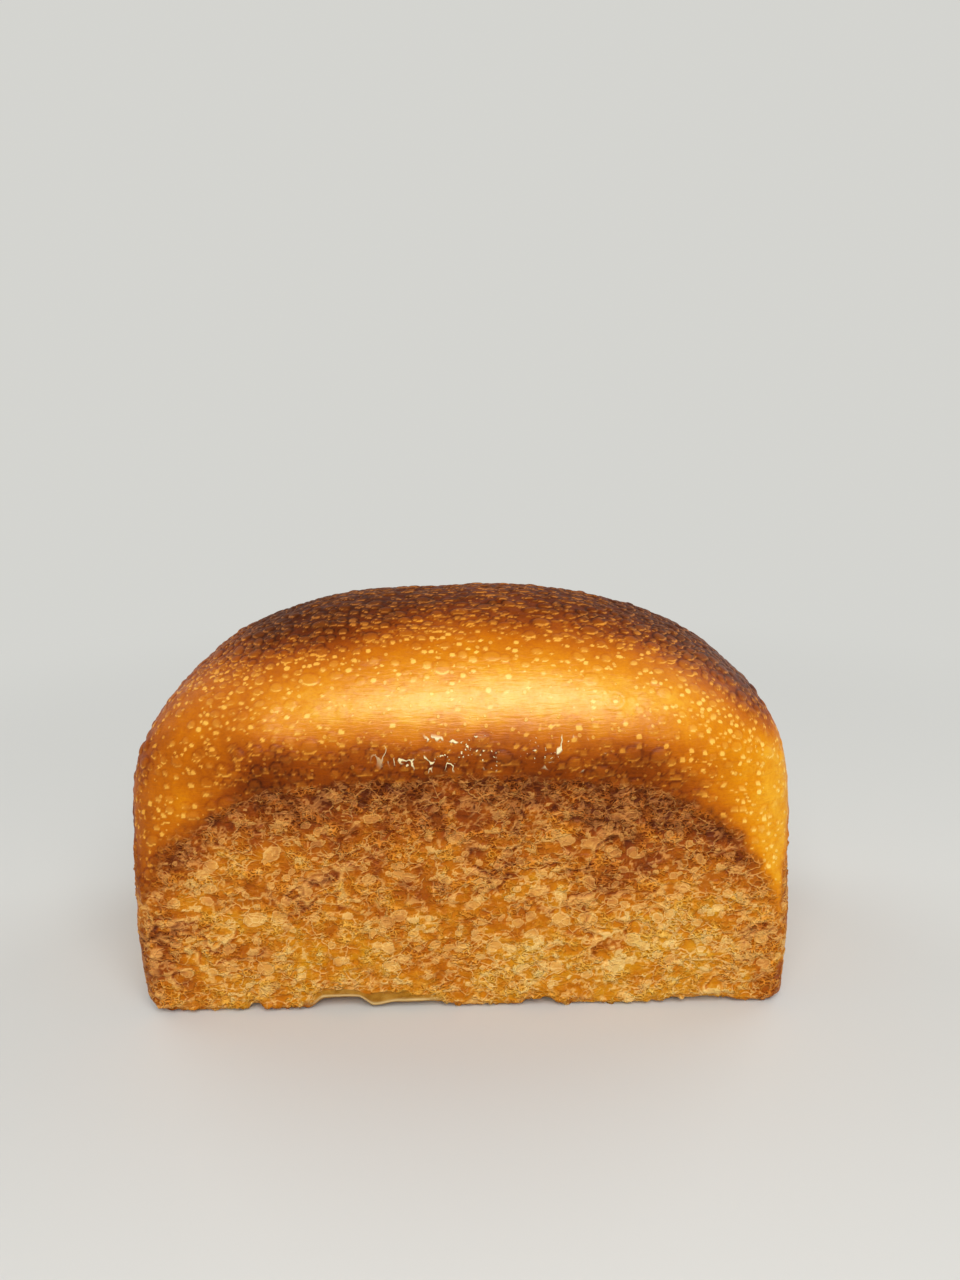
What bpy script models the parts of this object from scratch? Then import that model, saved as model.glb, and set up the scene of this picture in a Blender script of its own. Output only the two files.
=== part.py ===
"""Tin loaf: one uncut loaf, baked in a nearly straight-sided tin, as one closed solid.

Metres, +Z up. The loaf stands on its flat base with a long side facing -Y. The origin is the
middle of its footprint, on the surface it rests on.

Every level of the loaf is a rounded rectangle. The tin shapes the lower part: flat walls, a
small fillet round the foot and tight upright corners. Above the tin the crust is free: the long
sides swell out into a brow, the corners open up and the top closes in a dome.
"""

import math

import bmesh
import bpy

# The part that the tin shapes.
BASE_LENGTH = 0.1986  # along X, at the foot of the walls
RIM_LENGTH = 0.2026  # along X, where the ends leave the tin
BASE_DEPTH = 0.1020  # along Y, at the foot of the walls
RIM_DEPTH = 0.1044  # along Y, where the long sides leave the tin
END_SPRING = 0.068  # height at which the ends start to close in
SIDE_SPRING = 0.070  # height at which the long sides leave the tin
WALL_CURVE = 1.5  # how late in its height a wall flares
FOOT_FILLET = 0.003

# The free crust above it.
HEIGHT = 0.123
BROW_HEIGHT = 0.083  # height at which the long sides stand out most
BROW_DEPTH = 0.1070  # along Y, across both brows

# A dome outline is half * (1 - t**rise) ** (1 / fullness), where t runs from 0 at the spring
# to 1 at the top. The end at +X has the fuller shoulder.
LOW_SHOULDER = {"rise": 1.85, "fullness": 2.5}
FULL_SHOULDER = {"rise": 2.3, "fullness": 2.3}
SIDE_DOME = {"rise": 1.9, "fullness": 2.3}
CROWN_SHIFT = -0.003  # the top of the dome lies off centre, towards -X

# The upright corners: tight at the foot, and as wide as the loaf near the top.
CORNER_RADIUS = 0.006
CORNER_OPENS = 0.020  # height at which the corners start to open
CORNER_FULL = 0.115  # height at which they meet in the middle of each side
CORNER_GROWTH = 1.8
CORNER_SQUARENESS = 0.4  # added to the exponent 2 of a plain ellipse as the corners open

# Facets.
POINTS_ROUND = 112
CORNER_CROWDING = 0.7  # 0 spaces the points evenly, 1 puts them all near the corners
FILLET_STEPS = 3
WALL_STEPS = 10
DOME_STEPS = 22
HALVINGS = 40  # steps of the search for a section's edge

CRUST_COLOUR = (0.47, 0.20, 0.045, 1.0)
CRUST_ROUGHNESS = 0.42


def share(value, low, high):
    """How far value has come from low to high, kept between 0 and 1."""
    return min(max((value - low) / (high - low), 0.0), 1.0)


def smooth_step(t):
    return t * t * (3.0 - 2.0 * t)


def wall_half(z, base, rim, spring):
    """Half the width of the tin between two walls that flare from base to rim."""
    return (base + (rim - base) * share(z, 0.0, spring) ** WALL_CURVE) / 2.0


def dome_factor(z, spring, rise, fullness):
    t = share(z, spring, HEIGHT)
    return max(1.0 - t**rise, 0.0) ** (1.0 / fullness)


def foot_inset(z):
    """How far the fillet round the foot draws the walls in at height z."""
    below = max(FOOT_FILLET - z, 0.0)
    return FOOT_FILLET - math.sqrt(FOOT_FILLET**2 - below**2)


def half_length(z, towards_plus_x):
    shoulder = FULL_SHOULDER if towards_plus_x else LOW_SHOULDER
    wall = wall_half(z, BASE_LENGTH, RIM_LENGTH, END_SPRING)
    return wall * dome_factor(z, END_SPRING, **shoulder) - foot_inset(z)


def half_depth(z):
    wall = wall_half(z, BASE_DEPTH, RIM_DEPTH, SIDE_SPRING)
    brow = (BROW_DEPTH - RIM_DEPTH) / 2.0 * smooth_step(share(z, SIDE_SPRING, BROW_HEIGHT))
    return (wall + brow) * dome_factor(z, BROW_HEIGHT, **SIDE_DOME) - foot_inset(z)


def outside(x, y, z):
    """True where the point lies outside the loaf's section at height z."""
    half_x = half_length(z, x > 0.0)
    half_y = half_depth(z)
    opened = share(z, CORNER_OPENS, CORNER_FULL) ** CORNER_GROWTH
    corner_x = min(CORNER_RADIUS + (half_x - CORNER_RADIUS) * opened, half_x)
    corner_y = min(CORNER_RADIUS + (half_y - CORNER_RADIUS) * opened, half_y)
    past_x = max(abs(x) - (half_x - corner_x), 0.0) / corner_x
    past_y = max(abs(y) - (half_y - corner_y), 0.0) / corner_y
    exponent = 2.0 + CORNER_SQUARENESS * opened
    return past_x**exponent + past_y**exponent > 1.0


def directions():
    """Unit directions round the loaf, crowded towards its four corners."""
    found = []
    for i in range(POINTS_ROUND):
        turn = 2.0 * math.pi * i / POINTS_ROUND
        turn += CORNER_CROWDING * math.sin(4.0 * turn) / 4.0
        x = RIM_LENGTH * math.cos(turn)
        y = RIM_DEPTH * math.sin(turn)
        length = math.hypot(x, y)
        found.append((x / length, y / length))
    return found


def section(z, rays):
    """The points of the level z, one along each ray, shifted with the crown."""
    shift = CROWN_SHIFT * share(z, END_SPRING, HEIGHT) ** 2
    points = []
    for dx, dy in rays:
        near, far = 0.0, RIM_LENGTH
        for _ in range(HALVINGS):
            middle = (near + far) / 2.0
            if outside(dx * middle, dy * middle, z):
                far = middle
            else:
                near = middle
        points.append((dx * near + shift, dy * near, z))
    return points


def levels():
    """Heights of the rings, close together where the outline turns fastest."""
    heights = []
    for i in range(FILLET_STEPS):
        heights.append(FOOT_FILLET * (1.0 - math.cos(math.pi / 2.0 * i / FILLET_STEPS)))
    for i in range(WALL_STEPS):
        heights.append(FOOT_FILLET + (END_SPRING - FOOT_FILLET) * i / WALL_STEPS)
    for i in range(DOME_STEPS):
        turn = math.pi / 2.0 * i / DOME_STEPS
        heights.append(END_SPRING + (HEIGHT - END_SPRING) * math.sin(turn))
    return heights


def make_crust():
    material = bpy.data.materials.new("crust")
    material.use_nodes = True
    shader = material.node_tree.nodes["Principled BSDF"]
    shader.inputs["Base Color"].default_value = CRUST_COLOUR
    shader.inputs["Roughness"].default_value = CRUST_ROUGHNESS
    shader.inputs["Metallic"].default_value = 0.0
    return material


def make_loaf():
    rays = directions()
    solid = bmesh.new()
    rings = [[solid.verts.new(point) for point in section(z, rays)] for z in levels()]
    top = solid.verts.new((CROWN_SHIFT, 0.0, HEIGHT))
    solid.faces.new(list(reversed(rings[0])))
    for lower, upper in zip(rings, rings[1:]):
        for i in range(POINTS_ROUND):
            j = (i + 1) % POINTS_ROUND
            solid.faces.new((lower[i], lower[j], upper[j], upper[i]))
    for i in range(POINTS_ROUND):
        solid.faces.new((rings[-1][i], rings[-1][(i + 1) % POINTS_ROUND], top))
    bmesh.ops.recalc_face_normals(solid, faces=solid.faces[:])
    mesh = bpy.data.meshes.new("loaf")
    solid.to_mesh(mesh)
    solid.free()
    mesh.shade_smooth()
    mesh.set_sharp_from_angle(angle=math.radians(40.0))
    mesh.materials.append(make_crust())
    loaf = bpy.data.objects.new("loaf", mesh)
    bpy.context.scene.collection.objects.link(loaf)
    return loaf


for old in list(bpy.data.objects):
    bpy.data.objects.remove(old)
make_loaf()
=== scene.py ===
"""Looks of the tin loaf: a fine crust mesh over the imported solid, its finish, and the stage.

The crust is a lattice thrown from the loaf's middle onto the same rounded form as the solid. Fields
worked out for each of its points say where the tin touched, how brown it is and where it rose in
blisters or tore in flakes. They move the points, and the material reads them as attributes.
"""

import itertools
import math

import bpy
import numpy as np
from mathutils import Euler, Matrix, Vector, kdtree


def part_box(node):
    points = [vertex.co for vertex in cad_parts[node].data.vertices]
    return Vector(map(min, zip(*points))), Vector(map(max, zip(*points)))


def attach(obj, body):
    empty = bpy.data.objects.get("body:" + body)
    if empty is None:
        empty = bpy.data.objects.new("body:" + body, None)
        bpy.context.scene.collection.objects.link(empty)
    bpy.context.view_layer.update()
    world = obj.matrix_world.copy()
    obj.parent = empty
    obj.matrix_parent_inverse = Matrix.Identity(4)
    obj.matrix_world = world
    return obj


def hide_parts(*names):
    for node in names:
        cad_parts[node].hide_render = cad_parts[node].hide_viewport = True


MM = 0.001

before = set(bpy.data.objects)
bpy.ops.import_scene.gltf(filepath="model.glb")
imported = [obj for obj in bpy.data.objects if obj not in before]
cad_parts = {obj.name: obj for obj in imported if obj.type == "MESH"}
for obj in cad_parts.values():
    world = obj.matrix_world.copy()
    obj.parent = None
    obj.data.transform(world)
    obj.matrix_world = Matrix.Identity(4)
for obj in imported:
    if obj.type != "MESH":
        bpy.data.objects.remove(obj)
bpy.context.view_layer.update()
LOW, HIGH = (np.array(corner, float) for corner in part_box("loaf"))

# --- The loaf's form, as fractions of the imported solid's box -----------------------------------
RIM_LENGTH = HIGH[0] - LOW[0]  # where the ends leave the tin
BROW_DEPTH = HIGH[1] - LOW[1]  # where the long sides stand out most
HEIGHT = HIGH[2] - LOW[2]
BASE_LENGTH = RIM_LENGTH - 4.0 * MM
BASE_DEPTH = BROW_DEPTH - 5.0 * MM
RIM_DEPTH = BROW_DEPTH - 2.6 * MM  # where the long sides leave the tin
END_SPRING = 68.0 * MM
SIDE_SPRING = 70.0 * MM
BROW_HEIGHT = 83.0 * MM
WALL_CURVE = 1.5
FOOT_FILLET = 3.0 * MM
LOW_SHOULDER = {"rise": 1.85, "fullness": 2.5}
FULL_SHOULDER = {"rise": 2.3, "fullness": 2.3}
SIDE_DOME = {"rise": 1.9, "fullness": 2.3}
CROWN_SHIFT = -3.0 * MM
CORNER_RADIUS = 6.0 * MM
CORNER_OPENS = 20.0 * MM
CORNER_FULL = 115.0 * MM
CORNER_GROWTH = 1.8
CORNER_SQUARENESS = 0.4

# --- The crust's lattice ------------------------------------------------------------------------
LATTICE_STEP = 0.62 * MM
MIDDLE_HEIGHT = 50.0 * MM  # rays to the lattice start here
HALVINGS = 26
NOISE_CELLS = 32


def share(value, low, high):
    return np.clip((value - low) / (high - low), 0.0, 1.0)


def smooth(value, low=0.0, high=1.0):
    t = share(value, low, high)
    return t * t * (3.0 - 2.0 * t)


def bump(value, middle, width):
    """A bell that is 1 at middle and falls to a third of that width away."""
    return np.exp(-(((value - middle) / width) ** 2))


# --- The form -----------------------------------------------------------------------------------
def wall_half(z, base, rim, spring):
    return (base + (rim - base) * share(z, 0.0, spring) ** WALL_CURVE) / 2.0


def dome_factor(z, spring, rise, fullness):
    return np.maximum(1.0 - share(z, spring, HEIGHT) ** rise, 0.0) ** (1.0 / fullness)


def foot_inset(z):
    below = np.maximum(FOOT_FILLET - z, 0.0)
    return FOOT_FILLET - np.sqrt(np.maximum(FOOT_FILLET**2 - below**2, 0.0))


def half_length(z, towards_plus_x):
    wall = wall_half(z, BASE_LENGTH, RIM_LENGTH, END_SPRING)
    low = dome_factor(z, END_SPRING, **LOW_SHOULDER)
    full = dome_factor(z, END_SPRING, **FULL_SHOULDER)
    return wall * np.where(towards_plus_x, full, low) - foot_inset(z)


def half_depth(z):
    wall = wall_half(z, BASE_DEPTH, RIM_DEPTH, SIDE_SPRING)
    brow = (BROW_DEPTH - RIM_DEPTH) / 2.0 * smooth(z, SIDE_SPRING, BROW_HEIGHT)
    return (wall + brow) * dome_factor(z, BROW_HEIGHT, **SIDE_DOME) - foot_inset(z)


def outside(points):
    """True for the points outside the loaf."""
    z = points[:, 2]
    x = points[:, 0] - CROWN_SHIFT * share(z, END_SPRING, HEIGHT) ** 2
    half_x = np.maximum(half_length(z, x > 0.0), 1e-6)
    half_y = np.maximum(half_depth(z), 1e-6)
    opened = share(z, CORNER_OPENS, CORNER_FULL) ** CORNER_GROWTH
    corner_x = np.minimum(CORNER_RADIUS + (half_x - CORNER_RADIUS) * opened, half_x)
    corner_y = np.minimum(CORNER_RADIUS + (half_y - CORNER_RADIUS) * opened, half_y)
    past_x = np.maximum(np.abs(x) - (half_x - corner_x), 0.0) / corner_x
    past_y = np.maximum(np.abs(points[:, 1]) - (half_y - corner_y), 0.0) / corner_y
    exponent = 2.0 + CORNER_SQUARENESS * opened
    past = past_x**exponent + past_y**exponent > 1.0
    return past | (z < 0.0) | (z > HEIGHT)


def lattice():
    """The points and quads of a box's surface, and each quad corner's place in the bake's map."""
    size = np.array([RIM_LENGTH, BROW_DEPTH, HEIGHT])
    count = np.ceil(size / LATTICE_STEP).astype(int)
    shell = np.zeros(count + 1, bool)
    for axis in range(3):
        for end in (0, -1):
            side = [slice(None)] * 3
            side[axis] = end
            shell[tuple(side)] = True
    places = np.argwhere(shell)
    number = np.full(count + 1, -1, np.int32)
    number[shell] = np.arange(len(places))
    points = places / count * size - size * (0.5, 0.5, 0.0)
    quads, maps = [], []
    for axis, end, chart in CHARTS:
        side = [slice(None)] * 3
        side[axis] = end
        sheet = number[tuple(side)]
        corners = [sheet[:-1, :-1], sheet[1:, :-1], sheet[1:, 1:], sheet[:-1, 1:]]
        quad = np.stack([c.ravel() for c in corners], 1)
        across, along = (a for a in range(3) if a != axis)
        flat = points[:, (across, along)] - points[:, (across, along)].min(0)
        if (end == -1) == (axis == 1):
            quad = quad[:, ::-1]
        quads.append(quad)
        maps.append((flat[quad] * chart["scale"] + chart["at"]) / MAP_SIDE)
    return points, np.concatenate(quads), np.concatenate(maps)


MAP_SIDE = 366.0 * MM
CHARTS = (  # axis the side faces along, which end of it, and its place in the map
    (1, 0, {"at": (3 * MM, 3 * MM), "scale": 1.0}),
    (1, -1, {"at": (3 * MM, 129 * MM), "scale": 1.0}),
    (2, -1, {"at": (3 * MM, 255 * MM), "scale": 1.0}),
    (0, 0, {"at": (211 * MM, 3 * MM), "scale": 1.0}),
    (0, -1, {"at": (211 * MM, 129 * MM), "scale": 1.0}),
    (2, 0, {"at": (211 * MM, 255 * MM), "scale": 0.7}),
)


def thrown(points):
    """Each lattice point moved along its ray from the middle onto the loaf."""
    middle = np.array([0.0, 0.0, MIDDLE_HEIGHT])
    rays = points - middle
    near = np.zeros(len(points))
    far = np.full(len(points), 1.001)
    for _ in range(HALVINGS):
        half = (near + far) / 2.0
        out = outside(middle + rays * half[:, None])
        far = np.where(out, half, far)
        near = np.where(out, near, half)
    return middle + rays * near[:, None]


def normals_of(points, quads):
    """Unit normals at the points, each the mean of the quads round it, weighted by area."""
    diagonal = points[quads[:, 2]] - points[quads[:, 0]]
    other = points[quads[:, 3]] - points[quads[:, 1]]
    face = np.cross(diagonal, other)
    total = np.zeros_like(points)
    for corner in range(4):
        for axis in range(3):
            total[:, axis] += np.bincount(quads[:, corner], face[:, axis], len(points))
    return total / np.maximum(np.linalg.norm(total, axis=1), 1e-12)[:, None]


# --- Random fields ------------------------------------------------------------------------------
def value_noise(points, size, seed):
    """A smooth random field from -1 to 1, with lumps about size across."""
    table = np.random.default_rng(seed).uniform(-1.0, 1.0, (NOISE_CELLS,) * 3)
    cell = points / size + 7.3
    low = np.floor(cell).astype(int)
    part = cell - low
    part = part * part * (3.0 - 2.0 * part)
    total = np.zeros(len(points))
    for corner in itertools.product((0, 1), repeat=3):
        weight = np.ones(len(points))
        for axis, high in enumerate(corner):
            weight *= part[:, axis] if high else 1.0 - part[:, axis]
        i, j, k = ((low + corner) % NOISE_CELLS).T
        total += weight * table[i, j, k]
    return total


def layered(points, size, seed, layers=4):
    total = np.zeros(len(points))
    for layer in range(layers):
        total += value_noise(points, size / 2**layer, seed + layer) / 2**layer
    return total


# --- Fields of the crust ------------------------------------------------------------------------
def tin_edge(points):
    """How far each point lies below the upper edge of the skin that the tin pressed."""
    x, y, z = points.T
    along = np.minimum((np.abs(x + 1.5 * MM) + 3 * MM) / (100 * MM), 1.0)
    across = np.minimum((np.abs(y) + 2 * MM) / (54 * MM), 1.0)
    on_side = 26 * MM + 49.5 * MM * (1.0 - along**4.2) ** (1 / 1.6)
    on_end = 26 * MM + 42 * MM * (1.0 - across**3.4) ** (1 / 1.6)
    facing_end = smooth(np.abs(x) / RIM_LENGTH * 2 - np.abs(y) / BROW_DEPTH * 2, -0.04, 0.04)
    edge = on_side + (on_end - on_side) * facing_end
    ragged = 1.5 * layered(points, 9 * MM, 11) + 0.9 * value_noise(points, 2.4 * MM, 17)
    return edge + ragged * MM - z


def crown_depth(points):
    """How far each point lies below the crest of the loaf at its own place along X."""
    x, _, z = points.T
    reach = np.minimum(np.abs(x - CROWN_SHIFT) / (RIM_LENGTH / 2.0), 1.0)
    low = (1.0 - reach ** LOW_SHOULDER["fullness"]) ** (1.0 / LOW_SHOULDER["rise"])
    full = (1.0 - reach ** FULL_SHOULDER["fullness"]) ** (1.0 / FULL_SHOULDER["rise"])
    crest = END_SPRING + (HEIGHT - END_SPRING) * np.where(x > CROWN_SHIFT, full, low)
    return crest - z


def wet_and_shaded_band(points, below_edge):
    """1 in the middle of the glossy dark band under each brow. The band is browned darker, partly as
    real browning and partly as painted shade under the overhanging brow.
    """
    x, y, _ = points.T
    ragged = 2.5 * MM * layered(points, 8 * MM, 27, 3)
    band = bump(-below_edge + ragged, 5.0 * MM, 9 * MM)
    on_side = 1.0 - smooth(np.abs(x), 52 * MM, 90 * MM)
    on_end = 1.0 - smooth(np.abs(y), 22 * MM, 46 * MM)
    facing_end = smooth(np.abs(x) / RIM_LENGTH * 2 - np.abs(y) / BROW_DEPTH * 2, -0.04, 0.04)
    return band * (on_side + (on_end - on_side) * facing_end)


def browning_and_painted_light(points, below_edge):
    """How brown the free crust is, from 0, golden, to 1, mahogany, with painted shade in the band
    under each brow and a painted highlight over the brow's stretched middle mixed in.
    """
    x, y, z = points.T
    lumps = layered(points, 24 * MM, 23)
    grain = value_noise(points, 5 * MM, 29) + 0.6 * value_noise(points, 2.4 * MM, 31)
    depth = crown_depth(points) + 2.4 * MM * lumps + 1.2 * MM * grain
    # Browned further down left and right of the middle, and less on the low shoulder.
    depth = depth - 4.2 * MM * bump(x, -40 * MM, 22 * MM) - 2.4 * MM * smooth(x, 36 * MM, 84 * MM)
    depth = depth - 0.6 * MM * bump(x, -4 * MM, 20 * MM)
    depth = depth + 6.0 * MM * smooth(x, -54 * MM, -78 * MM)
    depth = depth + 1.2 * MM * bump(x, 8 * MM, 16 * MM)
    depths = np.array([-6, 0, 3, 6, 10, 15, 22, 34]) * MM
    tones = [0.98, 0.92, 0.76, 0.58, 0.40, 0.28, 0.24, 0.34]
    tone = 0.32 + (np.interp(depth, depths, tones) - 0.32) * smooth(z, 74 * MM, 98 * MM)
    # Darker in the band under the brow and along the tin's edge: partly real browning, partly painted
    # shade under the overhanging brow.
    tone = tone + 0.32 * wet_and_shaded_band(points, below_edge) + 0.14 * bump(below_edge, 0.0, 5 * MM)
    tone = tone + 0.17 * smooth(x, -44 * MM, -72 * MM) * smooth(z, 68 * MM, 88 * MM)
    corner = smooth(np.abs(x), 74 * MM, 96 * MM) * smooth(z, 98 * MM, 76 * MM)
    tone = tone + np.where(x > 0.0, -0.18, 0.16) * corner + 0.06 * lumps + 0.035 * grain
    tone = tone + 0.12 * bump(x, -62 * MM, 15 * MM) * bump(z, 86 * MM, 13 * MM)
    # Paler over the brow's stretched middle, under the highlight band: partly paler stretched crust,
    # partly painted highlight.
    tone = tone - 0.22 * taut_and_highlight_zone(points)
    return np.clip(tone, 0.0, 1.0)


def tin_tone(points, below_edge):
    """How brown the pressed skin is, from 0, straw at the foot, to 1 under its upper edge."""
    x, y, z = points.T
    depths = np.array([0, 5, 12, 22, 34, 48, 62, 76]) * MM
    tones = [1.00, 0.96, 0.84, 0.64, 0.50, 0.42, 0.34, 0.30]
    depth = np.maximum(below_edge, 0.85 * (58 * MM - z))
    depth = depth + 13 * MM * smooth(np.abs(x), 58 * MM, 88 * MM) * smooth(z, 20 * MM, 50 * MM)
    tone = np.interp(depth + 3 * MM * layered(points, 15 * MM, 41), depths, tones)
    foot_corner = smooth(np.abs(x), 76 * MM, 98 * MM) * smooth(z, 34 * MM, 2 * MM)
    foot_corner = foot_corner * smooth(np.abs(y), 20 * MM, 44 * MM)
    tone = tone + 0.28 * foot_corner
    pale_end = smooth(x * np.sign(-y), 22 * MM, 56 * MM) * smooth(z, 56 * MM, 34 * MM)
    tone = tone - 0.12 * pale_end
    patches = 0.20 * layered(points, 11 * MM, 37, 3) + 0.12 * value_noise(points, 26 * MM, 39)
    return np.clip(tone + 0.03 + patches + 0.07 * value_noise(points, 3 * MM, 43), 0.0, 1.0)


def scatter(points, weight, radii, rng, apart):
    """Picks a point for each radius, by weight, and drops those too near one picked before."""
    odds = weight / weight.sum()
    picked, places, sizes = [], np.zeros((len(radii), 3)), np.zeros(len(radii))
    for number, radius in zip(rng.choice(len(points), len(radii), p=odds), radii):
        place, count = points[number], len(picked)
        gap = np.linalg.norm(places[:count] - place, axis=1) - apart * (sizes[:count] + radius)
        if count and gap.min() < 0.0:
            continue
        places[count], sizes[count] = place, radius
        picked.append(number)
    return picked, sizes[: len(picked)]


class Surface:
    """The crust's points, with what stamps need to lie level on them."""

    def __init__(self, points, normals, tree):
        self.points, self.normals, self.tree = points, normals, tree

    def around(self, number, radius, stretch, turn):
        """Points near one point, with their level and upward distance from it in radii."""
        index = np.array([n for _, n, _ in self.tree.find_range(self.points[number], radius * 1.5)])
        normal = self.normals[number]
        level = np.array([-normal[1], normal[0], 0.0])
        if normal[2] > 0.97:
            level = np.array([1.0, 0.0, 0.0])
        level = level / max(np.linalg.norm(level), 1e-9)
        upward = np.cross(normal, level)
        offset = (self.points[index] - self.points[number]) / radius
        u, v = offset @ level, offset @ upward
        c, s = math.cos(turn), math.sin(turn)
        u_turned, v_turned = (c * u + s * v) / stretch, (c * v - s * u) * stretch
        return index, np.hypot(u_turned, v_turned), v

    def nearest(self, x, z, side=-1.0):
        """The number of the point nearest to a place on one long side."""
        gap = (self.points[:, 0] - x) ** 2 + (self.points[:, 2] - z) ** 2
        return int(np.argmin(np.where(self.points[:, 1] * side > 0.0, gap, 1.0)))


def taut_and_highlight_zone(points):
    """1 where the brow is stretched smooth, which is also where the key lamp's highlight band falls.
    """
    x, _, z = points.T
    return bump(x, 12 * MM, 72 * MM) * bump(z, 97.5 * MM, 9 * MM)


# Blisters: the middle of their radii in mm, the spread of its logarithm, the largest in mm, how
# many are tried, and how far apart two stay, in sums of their radii. Few rise through golden
# crust, and many through brown.
FEW_BLISTERS = (0.74, 0.42, 2.8, 2900, 1.05)
MANY_BLISTERS = (1.05, 0.38, 2.5, 6400, 0.74)
SMALLEST_BLISTER = 0.50


def blisters(surface, free, tone, taut_and_highlight, rng):
    """Heights, pale skins and dark rings of the blisters that rise through the free crust. Each pale
    skin is painted lighter towards its lower edge and ends there in a painted highlight, a thin pale
    arc where the dome turns to the light; the dark ring, a real crease, is left off that lit lower
    edge, so above the blister it is painted shade.
    """
    high = smooth(surface.points[:, 2], 86 * MM, 106 * MM)
    crowded = smooth(tone, 0.44, 0.66)
    clustered = 0.25 + smooth(layered(surface.points, 16 * MM, 61, 2), -0.5, 0.9)
    sparse = free * clustered * (0.45 + 0.55 * high) * (1.0 - 0.88 * taut_and_highlight) * (1.0 - crowded)
    chosen = []
    for weight, population in ((sparse, FEW_BLISTERS), (free * crowded, MANY_BLISTERS)):
        middle, spread, largest, count, apart = population
        radii = rng.lognormal(math.log(middle), spread, count)
        radii = np.clip(radii, SMALLEST_BLISTER, largest)
        picked, sizes = scatter(surface.points, weight, np.sort(radii)[::-1] * MM, rng, apart)
        chosen += zip(picked, sizes)
    height, pale, seam_and_shade = (np.zeros(len(surface.points)) for _ in range(3))
    for number, radius in chosen:
        stretch, turn = rng.uniform(1.0, 1.28), rng.normal(0.0, 0.3)
        # lip sets how strong the painted highlight on the blister's lower edge is.
        rise, body, lip = rng.uniform(0.14, 0.30), rng.uniform(0.15, 0.65), rng.uniform(0.6, 1.0)
        rise = rise * (0.7 + 0.4 * crowded[number])
        rise, lip = rise * (1.0 - 0.6 * taut_and_highlight[number]), lip * (1.0 - 0.5 * taut_and_highlight[number])
        index, reach, upward = surface.around(number, radius, stretch, turn)
        if radius < 1.1 * MM:
            body = body + 0.4 * (1.0 - crowded[number])
        elif radius > 1.5 * MM:
            body = 0.5 * body
        dome = rise * radius * np.maximum(1.0 - reach**2, 0.0) ** 0.55
        # Painted highlight: a thin pale arc on the lower edge of each blister, where the dome turns to
        # the light.
        painted_highlight_crescent = smooth(reach, 0.48, 0.84) * smooth(reach, 1.06, 0.92)
        painted_highlight_crescent = painted_highlight_crescent * smooth(-upward, 0.05, 0.60)
        # The pale body is paler skin, painted lighter towards its lower edge as painted light.
        skin = body * smooth(reach, 1.0, 0.74) * (0.85 - 0.35 * upward)
        pale_skin_and_highlight = np.maximum(lip * painted_highlight_crescent, skin)
        # A dark crease round each blister, left off its lit lower edge, so above the blister it is
        # painted shade.
        edge = bump(reach, 1.05, 0.18) * smooth(upward, -0.6, 0.4) * (0.35 + 0.65 * crowded[number])
        height[index] = np.maximum(height[index], dome)
        pale[index] = np.maximum(pale[index], pale_skin_and_highlight)
        seam_and_shade[index] = np.maximum(seam_and_shade[index], edge)
    return height, pale, seam_and_shade


# The blisters and swellings that stand out in front: place, radius, rise, and rings in them.
LANDMARKS = (
    (-61.0 * MM, 88.0 * MM, 15.0 * MM, 0.7 * MM, 0),
    (45.0 * MM, 97.5 * MM, 4.4 * MM, 0.50 * MM, 3),
    (-27.5 * MM, 110.0 * MM, 4.4 * MM, 0.40 * MM, 0),
    (12.0 * MM, 121.5 * MM, 4.0 * MM, 0.55 * MM, 0),
    (63.0 * MM, 101.0 * MM, 7.0 * MM, 0.35 * MM, 0),
)


def landmarks(surface, rng):
    """Swellings: those in front, and a few like them on the other sides."""
    height = np.zeros(len(surface.points))
    back = []
    for x, z, radius, rise, rings in LANDMARKS[:3]:
        back.append((-x * rng.uniform(0.6, 1.1), z - rng.uniform(0, 6) * MM, radius, rise, rings))
    for side, found in ((-1.0, LANDMARKS), (1.0, back)):
        for x, z, radius, rise, rings in found:
            number = surface.nearest(x, z, side)
            index, reach, _ = surface.around(number, radius, 1.06, 0.2)
            dome = rise * smooth(reach, 1.08, 0.55 if radius < 10 * MM else 0.0)
            if rings:
                dome = dome * (0.7 + 0.3 * np.cos(reach * rings * 2.0 * math.pi))
            height[index] = np.maximum(height[index], dome)
    return height


FLAKES = 950  # how many are tried
FLAKE_MIDDLE = 1.15  # middle of their radii in mm


def flakes(surface, weight, rng):
    """Pale scraps of skin, ragged ovals that lie level."""
    radii = np.clip(rng.lognormal(math.log(FLAKE_MIDDLE), 0.42, FLAKES), 0.7, 3.0)
    radii = np.sort(radii)[::-1] * MM
    picked, sizes = scatter(surface.points, weight, radii, rng, 0.9)
    ragged = 1.0 + 0.24 * value_noise(surface.points, 2.0 * MM, 51)
    ragged = ragged + 0.16 * value_noise(surface.points, 1.1 * MM, 52)
    total = np.zeros(len(surface.points))
    for number, radius in zip(picked, sizes):
        index, reach, _ = surface.around(number, radius, rng.uniform(1.0, 1.35), rng.normal(0.0, 0.35))
        strength = rng.uniform(0.45, 1.0)
        total[index] = np.maximum(total[index], strength * smooth(reach * ragged[index], 1.0, 0.74))
    return total


SCALE_SQUASH = 1.5  # how much longer a scale is than it is high
SCALE_SPACING = 2.3 * MM
SCALE_WARP = 0.55 * MM  # how ragged its outline is


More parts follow.
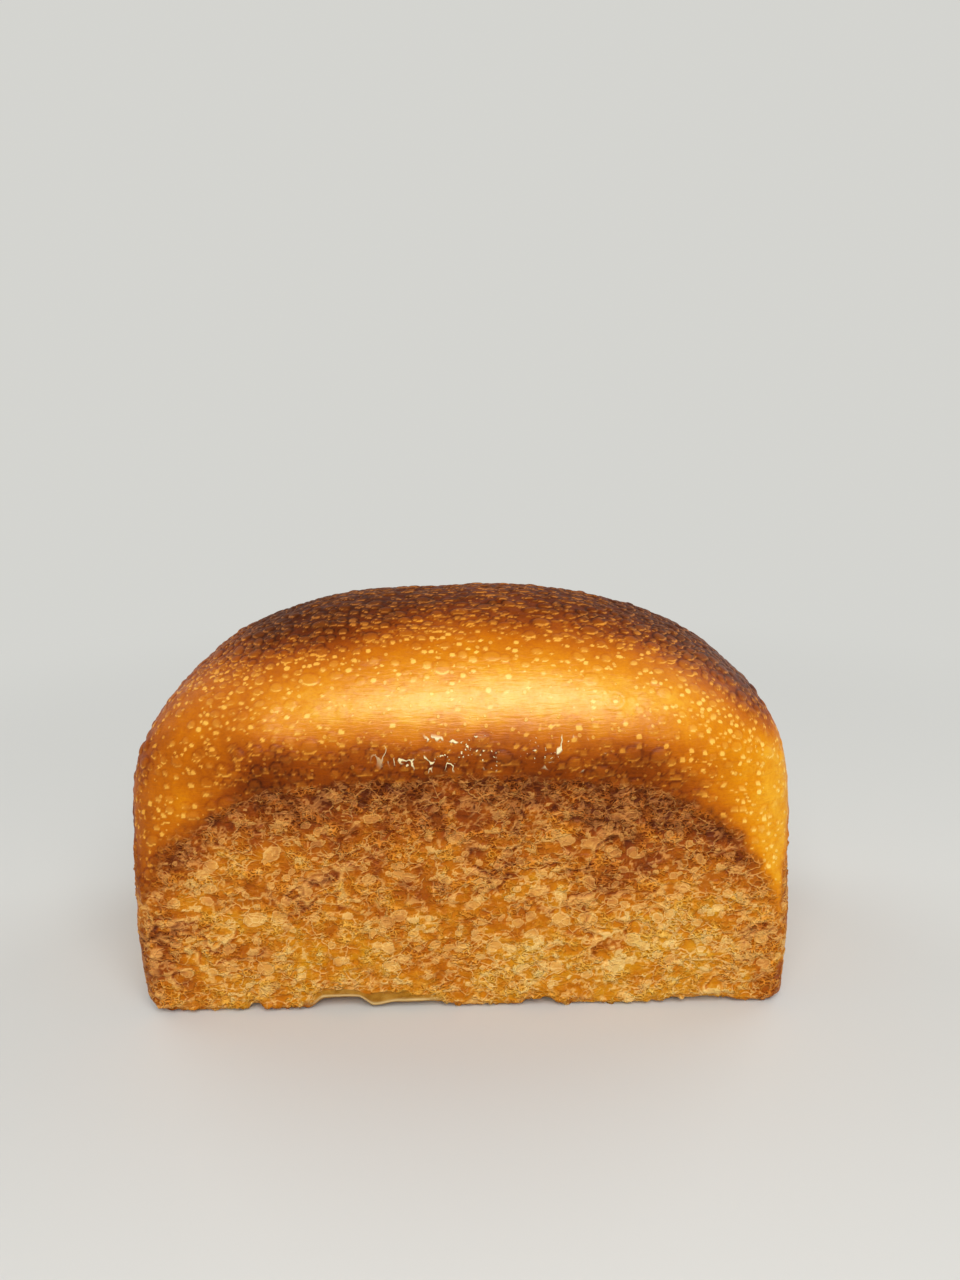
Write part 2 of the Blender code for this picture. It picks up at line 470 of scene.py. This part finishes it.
def scales(surface, weight, spacing, warp, seed):
    """Splits the surface into ragged scales. Gives each point's scale a random number, the
    distance to its edge and the place's offset from its middle."""
    rng = np.random.default_rng(seed)
    points = surface.points
    area = weight.sum() * LATTICE_STEP**2
    centres = rng.choice(len(points), int(area / spacing**2), p=weight / weight.sum(), replace=False)
    squash = np.array([1.0, 1.0, SCALE_SQUASH])
    tree = kdtree.KDTree(len(centres))
    for number, centre in enumerate(centres):
        tree.insert(points[centre] * squash, number)
    tree.balance()
    push = [layered(points, spacing * 0.8, seed + 10 * axis, 2) for axis in (1, 2, 3)]
    bent = (points + warp * np.stack(push, 1)) * squash
    count = len(points)
    own, edge, lift = np.zeros(count, int), np.full(count, spacing), np.zeros(count)
    for number in np.flatnonzero(weight > 0.0):
        (place, first, near), (_, _, far) = tree.find_n(bent[number], 2)
        own[number] = first
        edge[number] = far - near
        lift[number] = bent[number][2] - place[2]
    return rng.uniform(0.0, 1.0, len(centres))[own], edge, lift


def crust_fields(points, quads, tree):
    """Every field that the crust's points carry."""
    rng = np.random.default_rng(5)
    surface = Surface(points, normals_of(points, quads), tree)
    below_edge = tin_edge(points)
    ragged = value_noise(points, 1.3 * MM, 19) * MM
    near_corner = smooth(np.abs(points[:, 0]), 62 * MM, 92 * MM)
    ragged = ragged * (1.0 + 2.0 * near_corner)
    soft = (1.6 + 3.4 * near_corner) * MM
    tin = smooth((below_edge + ragged) / soft, -1.0, 1.0)
    wet_and_shaded = wet_and_shaded_band(points, below_edge)
    tone = browning_and_painted_light(points, below_edge)
    taut_and_highlight = taut_and_highlight_zone(points)
    # The blisters' pale skins carry painted highlights on their lower edges, and their dark rings are
    # painted shade above them.
    height, pale, seam_and_shade = blisters(surface, 1.0 - tin, tone, taut_and_highlight, rng)
    top_fine = 1.0 + 1.6 * smooth(below_edge, 18 * MM, 4 * MM)
    scaly = np.where(tin > 0.0, top_fine, 0.0)
    kind, edge, lift = scales(surface, scaly, SCALE_SPACING, SCALE_WARP, 101)
    flaky = tin * smooth(below_edge, 5 * MM, 14 * MM) * smooth(points[:, 2], 3 * MM, 20 * MM)
    flake = flakes(surface, flaky, rng)
    flat = points * (1.0, 1.0, 1.6)
    curl_noise = layered(flat, 12 * MM, 131, 3)
    curled = smooth(value_noise(points, 15 * MM, 137), -0.10, 0.30)
    curled = curled * smooth(below_edge, 5 * MM, 13 * MM)
    # The second bump is a shallow groove beside each curled ridge, which the material also darkens as
    # painted shadow.
    curl, under = bump(curl_noise, 0.0, 0.07), bump(curl_noise, -0.16, 0.09)
    return {
        "below_edge": below_edge,
        "tin": tin,
        "wet_and_shaded": wet_and_shaded,
        "brown": tone,
        "tin_tone": tin_tone(points, below_edge),
        "blister": height,
        "swell": landmarks(surface, rng),
        "pale": pale * (1.0 - tin),
        "seam_and_shade": seam_and_shade * (1.0 - tin),
        "kind": kind,
        "flake": flake * tin,
        "edge": edge,
        "rim": smooth(edge, 0.9 * MM, 0.15 * MM) * tin,
        "lift": lift,
        "curl": curl * tin * curled,
        "under": under * tin * curled,
        "glaze": np.clip(0.13 + 0.85 * taut_and_highlight - 0.08 * smooth(tone, 0.5, 0.9), 0.0, 1.0),
        # Where the glossy threads with painted highlights run, under each brow.
        "glint_streaks": bump(-below_edge, 8.5 * MM, 7.5 * MM)
        * bump(points[:, 0], np.where(points[:, 1] < 0.0, 11 * MM, -20 * MM), 42 * MM)
        * smooth(BROW_DEPTH / 2.0 - np.abs(points[:, 1]), 9 * MM, 5 * MM),
        "lip": lips(points),
        "lip_rim": lips(points) * bump(points[:, 2], 1.9 * MM, 0.6 * MM),
    }


LIP_HEIGHT = 5.5 * MM
FRONT_LIP = (-28.0 * MM, 21.0 * MM)  # middle along X, half length


def lips(points):
    """The smooth skins that hang at the foot of the walls."""
    x, y, z = points.T
    rng = np.random.default_rng(13)
    found = [((1, -1), *FRONT_LIP)]
    for side, half in (((1, 1), 80 * MM), ((0, -1), 36 * MM), ((0, 1), 36 * MM)):
        found.append((side, rng.uniform(-0.7, 0.7) * half, rng.uniform(8, 16) * MM))
    total = np.zeros(len(points))
    level = z + 1.3 * MM * layered(points, 6 * MM, 15, 2)
    for (axis, sign), middle, half in found:
        along = x if axis == 1 else y
        wall = (BASE_DEPTH if axis == 1 else BASE_LENGTH) / 2.0
        near = smooth(sign * points[:, axis], wall - 6 * MM, wall - 3 * MM)
        run = smooth(np.abs(along - middle), half + 2 * MM, half - 7 * MM)
        total = np.maximum(total, near * run * smooth(level, LIP_HEIGHT, LIP_HEIGHT - 1.2 * MM))
    return total


# Gaps under the edge of the front: middle along X, half width and height.
FRONT_GAPS = (
    (-64.5 * MM, 2.2 * MM, 1.9 * MM),
    (-38.0 * MM, 9.0 * MM, 3.0 * MM),
    (-14.0 * MM, 12.0 * MM, 1.2 * MM),
    (23.0 * MM, 5.5 * MM, 1.9 * MM),
    (72.0 * MM, 12.0 * MM, 1.2 * MM),
)


GAP_SPACING = 30.0 * MM  # between the gaps on the other sides


def foot_lift(points, rng):
    """How far the edge of the base curls up off the surface it rests on."""
    x, y, z = points.T
    lift = np.zeros(len(points))
    gaps = {(1, -1): FRONT_GAPS}
    for side, half in (((1, 1), 88 * MM), ((0, -1), 40 * MM), ((0, 1), 40 * MM)):
        middles = np.arange(-half, half, GAP_SPACING)
        middles = middles + rng.uniform(-8, 8, len(middles)) * MM
        gaps[side] = [(m, rng.uniform(3, 10) * MM, rng.uniform(0.8, 2.6) * MM) for m in middles]
    for (axis, sign), found in gaps.items():
        along = x if axis == 1 else y
        wall = (BASE_DEPTH if axis == 1 else BASE_LENGTH) / 2.0
        inward = wall - sign * points[:, axis]
        near = smooth(inward, 9 * MM, 1 * MM)
        for middle, width, height in found:
            lift = np.maximum(lift, height * near * smooth(np.abs(along - middle) / width, 1.15, 0.55))
    return lift * smooth(z, 11 * MM, 1 * MM)


def relief(points, fields):
    """How far each point moves out along its normal."""
    z = points[:, 2]
    tin, lip = fields["tin"], fields["lip"]
    swell = 0.55 * MM * layered(points, 34 * MM, 71, 2) * smooth(z, 4 * MM, 30 * MM)
    wave = 0.18 * MM * layered(points, 7 * MM, 73, 2)
    crest = 0.35 * MM * smooth(fields["brown"], 0.5, 0.9) * layered(points, 4.5 * MM, 75, 2)
    free = fields["blister"] + fields["swell"] + crest
    kind, edge = fields["kind"], fields["edge"]
    rounded = smooth(edge, 0.0, 1.1 * MM)
    raised = 0.36 * smooth(kind, 0.70, 0.80) - 0.42 * smooth(kind, 0.20, 0.12) + 0.24 * (kind - 0.5)
    tilted = 0.17 * np.clip(fields["lift"] / MM, -2.0, 2.0) * (kind > 0.3)
    knobs = 1.0 - 2.0 * np.abs(value_noise(points, 1.9 * MM, 79))
    scaly = (raised + tilted) * rounded + 0.24 * rounded + 0.20 * knobs * smooth(kind, 0.16, 0.3)
    flake = smooth(fields["flake"], 0.1, 0.6)
    scaly = scaly + (0.42 - scaly) * flake
    curls = 0.38 * fields["curl"] - 0.18 * fields["under"]
    pressed = (scaly + curls) * MM * (1.0 - 0.9 * lip)
    upright = smooth(np.abs(points[:, 0]), 92 * MM, 99 * MM)
    upright = upright * smooth(np.abs(points[:, 1]), 42 * MM, 49 * MM)
    pressed = pressed * (1.0 - 0.8 * upright)
    rolled = 0.30 * MM * bump(fields["below_edge"], 0.0, 2.2 * MM) * (1.0 - upright)
    return swell + wave + (1.0 - tin) * free + tin * (pressed - 0.45 * MM) + rolled


CARRIED = (  # the fields that the material reads
    "tin", "wet_and_shaded", "brown", "tin_tone", "pale", "seam_and_shade", "kind", "flake",
    "rim", "curl", "under", "lip", "lip_rim", "glint_streaks", "glaze",
)


def make_crust():
    flat, quads, places = lattice()
    points = thrown(flat)
    tree = kdtree.KDTree(len(points))
    for number, point in enumerate(points):
        tree.insert(point, number)
    tree.balance()
    fields = crust_fields(points, quads, tree)
    moved = points + normals_of(points, quads) * relief(points, fields)[:, None]
    moved[:, 2] += foot_lift(points, np.random.default_rng(9))
    moved[:, 2] = np.maximum(moved[:, 2], 0.0)
    mesh = bpy.data.meshes.new("crust")
    mesh.vertices.add(len(moved))
    mesh.vertices.foreach_set("co", moved.ravel())
    mesh.loops.add(quads.size)
    mesh.loops.foreach_set("vertex_index", quads.ravel())
    mesh.polygons.add(len(quads))
    mesh.polygons.foreach_set("loop_start", np.arange(0, quads.size, 4))
    mesh.update()
    mesh.validate()
    mesh.shade_smooth()
    layer = mesh.uv_layers.new(name="OFBake")
    layer.uv.foreach_set("vector", places.reshape(-1, 2).astype(np.float32).ravel())
    for name in CARRIED:
        attribute = mesh.attributes.new(name, "FLOAT", "POINT")
        attribute.data.foreach_set("value", fields[name].astype(np.float32))
    loaf = bpy.data.objects.new("crust", mesh)
    bpy.context.scene.collection.objects.link(loaf)
    mesh.materials.append(crust_material())
    return loaf


# --- The crust's material -----------------------------------------------------------------------
def linear(red, green, blue):
    """An sRGB colour of 0 to 255 as linear numbers."""
    found = []
    for value in (red, green, blue):
        c = value / 255.0
        found.append(c / 12.92 if c <= 0.04045 else ((c + 0.055) / 1.055) ** 2.4)
    return (*found, 1.0)


# Its palest stops are mostly reached over the brow's stretched middle, where the tone is painted
# paler, partly as stretched crust and partly as painted highlight.
FREE_CRUST = (
    (0.00, linear(240, 190, 76)),
    (0.10, linear(234, 166, 36)),
    (0.22, linear(220, 136, 6)),
    (0.42, linear(192, 102, 2)),
    (0.62, linear(150, 68, 2)),
    (0.82, linear(106, 42, 3)),
    (1.00, linear(66, 26, 4)),
)
BLISTER_SKIN = (
    (0.00, linear(255, 228, 128)),
    (0.30, linear(255, 202, 88)),
    (0.60, linear(236, 156, 48)),
    (0.85, linear(206, 128, 50)),
    (1.00, linear(166, 100, 46)),
)
SKIN_HOLLOWS = (
    (0.00, linear(210, 144, 14)),
    (0.30, linear(198, 118, 4)),
    (0.55, linear(172, 86, 2)),
    (0.80, linear(120, 48, 2)),
    (1.00, linear(72, 25, 2)),
)
SKIN_RIDGES = (
    (0.00, linear(252, 208, 106)),
    (0.30, linear(246, 182, 72)),
    (0.55, linear(236, 150, 46)),
    (0.80, linear(206, 118, 40)),
    (1.00, linear(162, 84, 28)),
)
FLAKE_SKIN = (
    (0.00, linear(255, 226, 150)),
    (0.40, linear(248, 194, 106)),
    (0.80, linear(222, 150, 76)),
    (1.00, linear(182, 112, 56)),
)
POOL_AMBER = (
    (0.00, linear(214, 158, 30)),
    (0.40, linear(206, 124, 4)),
    (0.80, linear(156, 70, 2)),
    (1.00, linear(96, 36, 2)),
)
LIP_SKIN = linear(136, 90, 20)
LIP_EDGE = linear(176, 128, 46)
LIP_RIM = linear(240, 206, 140)
# Near-white painted highlight: the lamp's reflection in the glossy threads under the brow.
STREAK_GLINT = linear(250, 232, 176)


class Nodes:
    """Short calls for the nodes of one material."""

    def __init__(self, name):
        self.material = bpy.data.materials.new(name)
        self.material.use_nodes = True
        self.tree = self.material.node_tree
        self.shader = self.tree.nodes["Principled BSDF"]

    def add(self, kind, inputs=None, **settings):
        node = self.tree.nodes.new(kind)
        for name, value in settings.items():
            setattr(node, name, value)
        for name, value in (inputs or {}).items():
            self.put(node.inputs[name], value)
        return node

    def put(self, socket, value):
        if isinstance(value, bpy.types.NodeSocket):
            self.tree.links.new(value, socket)
        else:
            socket.default_value = value

    def maths(self, operation, *values, clamp=False):
        node = self.add("ShaderNodeMath", operation=operation, use_clamp=clamp)
        for socket, value in zip(node.inputs, values):
            self.put(socket, value)
        return node.outputs[0]

    def times(self, *values):
        return self.maths("MULTIPLY", *values)

    def most(self, *values, clamp=False):
        return self.maths("MAXIMUM", *values, clamp=clamp)

    def attribute(self, name):
        return self.add("ShaderNodeAttribute", attribute_name=name).outputs["Fac"]

    def between(self, value, low, high, to_low=0.0, to_high=1.0):
        node = self.add("ShaderNodeMapRange", interpolation_type="SMOOTHSTEP")
        for name, setting in (("Value", value), ("From Min", low), ("From Max", high),
                              ("To Min", to_low), ("To Max", to_high)):
            self.put(node.inputs[name], setting)
        return node.outputs[0]

    def ramp(self, value, stops):
        node = self.add("ShaderNodeValToRGB", {"Fac": value})
        elements = node.color_ramp.elements
        elements[0].position, elements[0].color = stops[0]
        elements[1].position, elements[1].color = stops[-1]
        for position, colour in stops[1:-1]:
            elements.new(position).color = colour
        return node.outputs["Color"]

    def blend(self, part, first, second):
        node = self.add("ShaderNodeMix", data_type="RGBA")
        for number, value in zip((0, 6, 7), (part, first, second)):
            self.put(node.inputs[number], value)
        return node.outputs[2]

    def level(self, part, first, second):
        node = self.add("ShaderNodeMix", data_type="FLOAT")
        for number, value in zip((0, 2, 3), (part, first, second)):
            self.put(node.inputs[number], value)
        return node.outputs[0]

    def noise(self, where, scale, detail=2.0, roughness=0.5):
        inputs = {"Vector": where, "Scale": scale, "Detail": detail, "Roughness": roughness}
        return self.add("ShaderNodeTexNoise", inputs).outputs["Fac"]

    def cells(self, where, scale, feature):
        inputs = {"Vector": where, "Scale": scale}
        return self.add("ShaderNodeTexVoronoi", inputs, feature=feature)

    def pushed(self, where, scale, reach):
        """where, pushed about by a noise field."""
        field = self.add("ShaderNodeTexNoise", {"Vector": where, "Scale": scale, "Detail": 2.0})
        centred = self.add("ShaderNodeVectorMath", operation="SUBTRACT")
        self.put(centred.inputs[0], field.outputs["Color"])
        self.put(centred.inputs[1], (0.5, 0.5, 0.5))
        scaled = self.add("ShaderNodeVectorMath", {"Scale": reach}, operation="SCALE")
        self.put(scaled.inputs[0], centred.outputs[0])
        total = self.add("ShaderNodeVectorMath", operation="ADD")
        self.put(total.inputs[0], where)
        self.put(total.inputs[1], scaled.outputs[0])
        return total.outputs[0]


# How far the painted shadow under each torn edge sits below it.
SHADOW_LINE_DROP = 0.42 * MM


def crust_material():
    n = Nodes("crust")
    where = n.add("ShaderNodeTexCoord").outputs["Object"]
    tin, wet_and_shaded, tone, skin_tone = (n.attribute(name) for name in ("tin", "wet_and_shaded", "brown", "tin_tone"))
    pale, seam_and_shade, kind, rim = (n.attribute(name) for name in ("pale", "seam_and_shade", "kind", "rim"))
    curl, under, lip, flake = (n.attribute(name) for name in ("curl", "under", "lip", "flake"))
    grain = n.noise(where, 1100.0, 3.0, 0.6)
    mottle = n.noise(where, 210.0, 4.0, 0.62)

    # Free crust: small specks between the modelled blisters, dark creases round them that are painted
    # shade above each blister, and a fine mottle.
    bent = n.pushed(where, 500.0, 0.0005)
    speck_cells = n.cells(bent, 520.0, "F1")
    chance = n.add("ShaderNodeSeparateColor", {"Color": speck_cells.outputs["Color"]})
    size = n.between(chance.outputs[0], 0.55, 1.0, 0.05, 0.40)
    speck = n.between(speck_cells.outputs["Distance"], n.times(size, 0.6), size, 1.0, 0.0)
    speck = n.times(speck, n.between(chance.outputs[0], 0.52, 0.60))
    free_tone = n.maths("ADD", tone, n.maths("MULTIPLY_ADD", mottle, 0.26, -0.13))
    free_tone = n.maths("ADD", free_tone, n.maths("MULTIPLY_ADD", grain, 0.16, -0.08))
    # Darkens the creases round the blisters, which above each blister are painted shade.
    free_tone = n.maths("MULTIPLY_ADD", seam_and_shade, 0.20, free_tone)
    free_colour = n.ramp(free_tone, FREE_CRUST)
    # pale holds the blisters' paler skins with the painted highlights on their lower edges.
    pale = n.maths("MULTIPLY_ADD", n.between(pale, 0.40, 0.72), 0.50, n.times(pale, 0.42))
    skin_part = n.most(pale, n.times(speck, 0.50))
    skin_part = n.times(skin_part, n.maths("MULTIPLY_ADD", wet_and_shaded, -0.25, 1.0))
    free_colour = n.blend(skin_part, free_colour, n.ramp(free_tone, BLISTER_SKIN))

    # Thin glossy threads run through the band under the brow; their near-white colour is a painted
    # highlight, the lamp's reflection in them.
    upright = n.add("ShaderNodeMapping", {"Vector": where, "Scale": (1.25, 1.25, 0.75)}).outputs[0]
    streak_at = n.pushed(upright, 300.0, 0.0030)
    streak_glint = n.maths("ABSOLUTE", n.maths("SUBTRACT", n.noise(streak_at, 170.0, 1.0), 0.5))
    streak_glint = n.between(streak_glint, 0.013, 0.030, 1.0, 0.0)
    streak_glint = n.times(streak_glint, n.between(n.noise(where, 120.0, 1.0), 0.48, 0.53))
    dots = n.between(n.noise(where, 1000.0, 1.0), 0.66, 0.70)
    dotted = n.between(n.noise(where, 160.0, 1.0), 0.50, 0.56)
    streak_glint = n.most(streak_glint, n.times(dots, dotted))
    streak_glint = n.times(streak_glint, n.between(n.attribute("glint_streaks"), 0.42, 0.62))
    free_colour = n.blend(streak_glint, free_colour, STREAK_GLINT)

    # Pressed skin: scales, and a froth of burst bubbles that is pale on its ridges.
    squashed = n.add("ShaderNodeMapping", {"Vector": where, "Scale": (0.85, 0.85, 1.25)}).outputs[0]
    froth_at = n.pushed(squashed, 420.0, 0.0020)
    coarse = n.cells(froth_at, 330.0, "DISTANCE_TO_EDGE").outputs["Distance"]
    fine = n.cells(froth_at, 680.0, "DISTANCE_TO_EDGE").outputs["Distance"]
    coarse_ridge = n.between(coarse, 0.02, 0.12, 1.0, 0.0)
    fine_ridge = n.between(fine, 0.04, 0.22, 1.0, 0.0)
    open_patch = n.between(n.noise(squashed, 130.0, 3.0, 0.6), 0.42, 0.58)
    fine_ridge = n.times(fine_ridge, n.between(open_patch, 0.0, 1.0, 0.25, 0.85))
    ridge = n.most(coarse_ridge, fine_ridge)
    patchy = n.between(n.noise(where, 240.0, 3.0, 0.6), 0.38, 0.60, 0.25, 1.0)
    ridge = n.times(ridge, patchy)
    pool = n.between(kind, 0.10, 0.18, 1.0, 0.0)
    pool = n.most(pool, n.between(open_patch, 0.0, 0.5, 0.55, 0.0))
    small = n.times(n.between(kind, 0.88, 0.92), n.maths("SUBTRACT", 1.0, rim))
    flake = n.most(flake, n.times(small, 0.45))
    smoothed = n.most(n.times(pool, 0.9), n.times(flake, 0.6))
    smoothed = n.most(smoothed, lip)
    open_froth = n.maths("SUBTRACT", 1.0, smoothed)
    ridge = n.times(ridge, open_froth)
    skin_at = n.maths("ADD", skin_tone, n.maths("MULTIPLY_ADD", mottle, 0.50, -0.25))
    skin_at = n.maths("MULTIPLY_ADD", kind, -0.16, n.maths("ADD", skin_at, 0.06))
    # Painted shadow beside the curled ridges.
    skin_at = n.maths("MULTIPLY_ADD", under, 0.30, skin_at)
    torn = n.between(n.noise(where, 150.0, 2.0), 0.44, 0.56)
    # Bright torn edges, and painted shadow a little under each of them.
    edges_and_shadows = []  # bright torn edges, and the dark lines a little under them
    for drop in (0.0, SHADOW_LINE_DROP):
        place = {"Vector": where, "Location": (0.0, 0.0, drop * 1.3), "Scale": (0.9, 0.9, 1.3)}
        at = n.pushed(n.add("ShaderNodeMapping", place).outputs[0], 170.0, 0.0060)
        scraps = n.cells(n.pushed(at, 700.0, 0.0011), 210.0, "DISTANCE_TO_EDGE")
        line = n.between(scraps.outputs["Distance"], 0.016, 0.060, 1.0, 0.0)
        edges_and_shadows.append(n.times(line, torn))
    # Painted shadow under each torn edge.
    skin_at = n.maths("MULTIPLY_ADD", edges_and_shadows[1], 0.18, skin_at)
    skin_colour = n.blend(ridge, n.ramp(skin_at, SKIN_HOLLOWS), n.ramp(skin_at, SKIN_RIDGES))
    skin_colour = n.blend(n.times(pool, 0.70), skin_colour, n.ramp(skin_at, POOL_AMBER))
    flaky = n.ramp(skin_at, FLAKE_SKIN)
    flake_line = n.between(flake, 0.36, 0.60, 1.0, 0.0)
    flake_line = n.times(n.between(flake, 0.10, 0.26), flake_line)
    skin_colour = n.blend(n.times(n.between(flake, 0.25, 0.70), 0.42), skin_colour, flaky)
    bright = n.ramp(n.maths("SUBTRACT", skin_at, 0.22), FLAKE_SKIN)
    bright_part = n.most(n.times(flake_line, 0.50), n.times(edges_and_shadows[0], 0.50))
    skin_colour = n.blend(bright_part, skin_colour, bright)
    thin_rim = n.between(n.noise(where, 300.0, 2.0), 0.44, 0.58, 0.0, 0.55)
    thin_rim = n.times(n.between(rim, 0.45, 0.85), thin_rim)
    skin_colour = n.blend(n.most(thin_rim, n.times(curl, 0.85)), skin_colour, flaky)
    lip_tone = n.between(mottle, 0.35, 0.65)
    lip_colour = n.blend(lip_tone, LIP_SKIN, LIP_EDGE)
    skin_colour = n.blend(n.times(lip, 0.85), skin_colour, lip_colour)
    skin_colour = n.blend(n.attribute("lip_rim"), skin_colour, LIP_RIM)

    n.put(n.shader.inputs["Base Color"], n.blend(tin, free_colour, skin_colour))

    free_rough = n.between(n.maths("ADD", mottle, n.times(tone, 0.5)), 0.4, 1.0, 0.30, 0.50)
    free_rough = n.maths("SUBTRACT", free_rough, n.times(wet_and_shaded, 0.14))
    skin_rough = n.maths("SUBTRACT", 0.60, n.times(smoothed, 0.22))
    n.put(n.shader.inputs["Roughness"], n.level(tin, free_rough, skin_rough))
    uneven = n.between(n.noise(where, 330.0, 3.0, 0.6), 0.36, 0.60, 0.84, 1.08)
    glaze = n.times(n.attribute("glaze"), uneven)
    glaze = n.most(glaze, streak_glint, clamp=True)
    skin_glaze = n.maths("MULTIPLY_ADD", pool, 0.15, 0.08)
    n.put(n.shader.inputs["Coat Weight"], n.level(tin, glaze, skin_glaze))
    n.shader.inputs["Coat Roughness"].default_value = 0.28
    n.shader.inputs["Specular IOR Level"].default_value = 0.03

    # Relief too fine for the mesh, in metres.
    stretched = n.add("ShaderNodeMapping", {"Vector": where, "Scale": (0.30, 0.30, 1.7)}).outputs[0]
    wrinkle = n.noise(stretched, 700.0, 3.0, 0.6)
    free_relief = n.maths("MULTIPLY_ADD", speck, 0.00010, n.times(wrinkle, 0.00030))
    free_relief = n.maths("MULTIPLY_ADD", streak_glint, 0.00022, free_relief)
    skin_relief = n.maths("MULTIPLY_ADD", ridge, 0.00060, n.times(grain, 0.00030))
    skin_relief = n.times(skin_relief, n.maths("SUBTRACT", 1.0, n.times(smoothed, 0.7)))
    height = n.level(tin, free_relief, skin_relief)
    relief_node = n.add("ShaderNodeBump", {"Strength": 1.0, "Distance": 1.0, "Height": height})
    n.put(n.shader.inputs["Normal"], relief_node.outputs[0])
    n.put(n.shader.inputs["Coat Normal"], relief_node.outputs[0])
    return n.material


# --- Stage --------------------------------------------------------------------------------------
CAMERA_BACK = 265.0 * MM  # from the foot of the loaf's front
CAMERA_HEIGHT = 175.5 * MM
CAMERA_ASIDE = 5.0 * MM
CAMERA_DOWN = math.radians(12.54)
CAMERA_YAW = math.radians(0.3)
CAMERA_ROLL = math.radians(-0.9)
CAMERA_LENS = 27.06


PALE = (0.66, 0.66, 0.63, 1.0)  # the floor and everything behind it
FLOOR_HALF = 6.0
BACKDROP_STARTS = 0.20  # how far from the middle the floor starts to turn into the backdrop
BACKDROP_WHOLE = 0.60
WORLD_LIGHT = 0.34

# Lamps: azimuth, elevation, distance, size, power, and whether gloss mirrors them.
LAMPS = {
    "key": (7.0, 42.0, 1.1, (1.00, 0.74), 10.9, True),
    "left": (-125.0, 30.0, 1.4, (1.0, 0.8), 5.0, False),
    "right": (125.0, 30.0, 1.4, (1.0, 0.8), 5.0, False),
}


def make_floor():
    """A pale floor that keeps the loaf's shadow and turns into the plain backdrop far from it."""
    mesh = bpy.data.meshes.new("floor")
    half = FLOOR_HALF
    corners = [(-half, -half, 0), (half, -half, 0), (half, half, 0), (-half, half, 0)]
    mesh.from_pydata(corners, [], [(0, 1, 2, 3)])
    n = Nodes("floor")
    n.shader.inputs["Base Color"].default_value = PALE
    n.shader.inputs["Roughness"].default_value = 0.9
    n.shader.inputs["Specular IOR Level"].default_value = 0.1
    where = n.add("ShaderNodeTexCoord").outputs["Object"]
    away = n.add("ShaderNodeVectorMath", {0: where}, operation="LENGTH").outputs["Value"]
    far = n.between(away, BACKDROP_STARTS, BACKDROP_WHOLE)
    rays = n.add("ShaderNodeLightPath")
    seen = n.maths("ADD", rays.outputs["Is Camera Ray"], rays.outputs["Is Glossy Ray"], clamp=True)
    seen = n.maths("ADD", seen, rays.outputs["Is Transmission Ray"], clamp=True)
    glow = n.add("ShaderNodeEmission", {"Color": PALE, "Strength": 1.0}).outputs[0]
    shaders = {0: n.times(far, seen), 1: n.shader.outputs[0], 2: glow}
    mix = n.add("ShaderNodeMixShader", shaders)
    n.put(n.tree.nodes["Material Output"].inputs["Surface"], mix.outputs[0])
    mesh.materials.append(n.material)
    floor = bpy.data.objects.new("floor", mesh)
    floor.location.z = -0.05 * MM
    bpy.context.scene.collection.objects.link(floor)


def make_lamp(name, azimuth, elevation, distance, size, power, mirrored):
    """A soft lamp that looks at the loaf. Azimuth 0 is in front, and 90 at +X."""
    turn, tip = math.radians(azimuth), math.radians(elevation)
    away = Vector((math.sin(turn) * math.cos(tip), -math.cos(turn) * math.cos(tip), math.sin(tip)))
    data = bpy.data.lights.new(name, "AREA")
    data.shape = "RECTANGLE"
    data.size, data.size_y = size
    data.energy = power
    lamp = bpy.data.objects.new(name, data)
    lamp.visible_glossy = mirrored
    lamp.location = Vector((0.0, 0.0, 0.08)) + away * distance
    lamp.rotation_euler = (-away).to_track_quat("-Z", "Y").to_euler()
    bpy.context.scene.collection.objects.link(lamp)


def make_world():
    world = bpy.data.worlds.new("studio")
    world.use_nodes = True
    tree = world.node_tree
    light = tree.nodes["Background"]
    light.inputs["Color"].default_value = (1.0, 1.0, 1.0, 1.0)
    light.inputs["Strength"].default_value = WORLD_LIGHT
    seen = tree.nodes.new("ShaderNodeBackground")
    seen.inputs["Color"].default_value = PALE
    rays = tree.nodes.new("ShaderNodeLightPath")
    shown = rays.outputs["Is Camera Ray"]
    for other in ("Is Glossy Ray", "Is Transmission Ray"):
        either = tree.nodes.new("ShaderNodeMath")
        either.operation = "MAXIMUM"
        tree.links.new(shown, either.inputs[0])
        tree.links.new(rays.outputs[other], either.inputs[1])
        shown = either.outputs[0]
    mix = tree.nodes.new("ShaderNodeMixShader")
    tree.links.new(shown, mix.inputs[0])
    tree.links.new(light.outputs[0], mix.inputs[1])
    tree.links.new(seen.outputs[0], mix.inputs[2])
    tree.links.new(mix.outputs[0], tree.nodes["World Output"].inputs["Surface"])
    bpy.context.scene.world = world


def make_camera():
    data = bpy.data.cameras.new("camera")
    data.lens = CAMERA_LENS
    data.clip_start = 0.01
    camera = bpy.data.objects.new("camera", data)
    camera.location = (CAMERA_ASIDE, -BASE_DEPTH / 2.0 - CAMERA_BACK, CAMERA_HEIGHT)
    turn = Euler((math.pi / 2.0 - CAMERA_DOWN, 0.0, -CAMERA_YAW)).to_matrix()
    roll = Euler((0.0, 0.0, CAMERA_ROLL)).to_matrix()
    camera.rotation_euler = (turn @ roll).to_euler()
    bpy.context.scene.collection.objects.link(camera)
    bpy.context.scene.camera = camera


make_camera()
make_world()
make_floor()
for lamp_name, settings in LAMPS.items():
    make_lamp(lamp_name, *settings)
bpy.context.scene.view_settings.view_transform = "Standard"

crust = make_crust()
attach(crust, "root")
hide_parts("loaf")
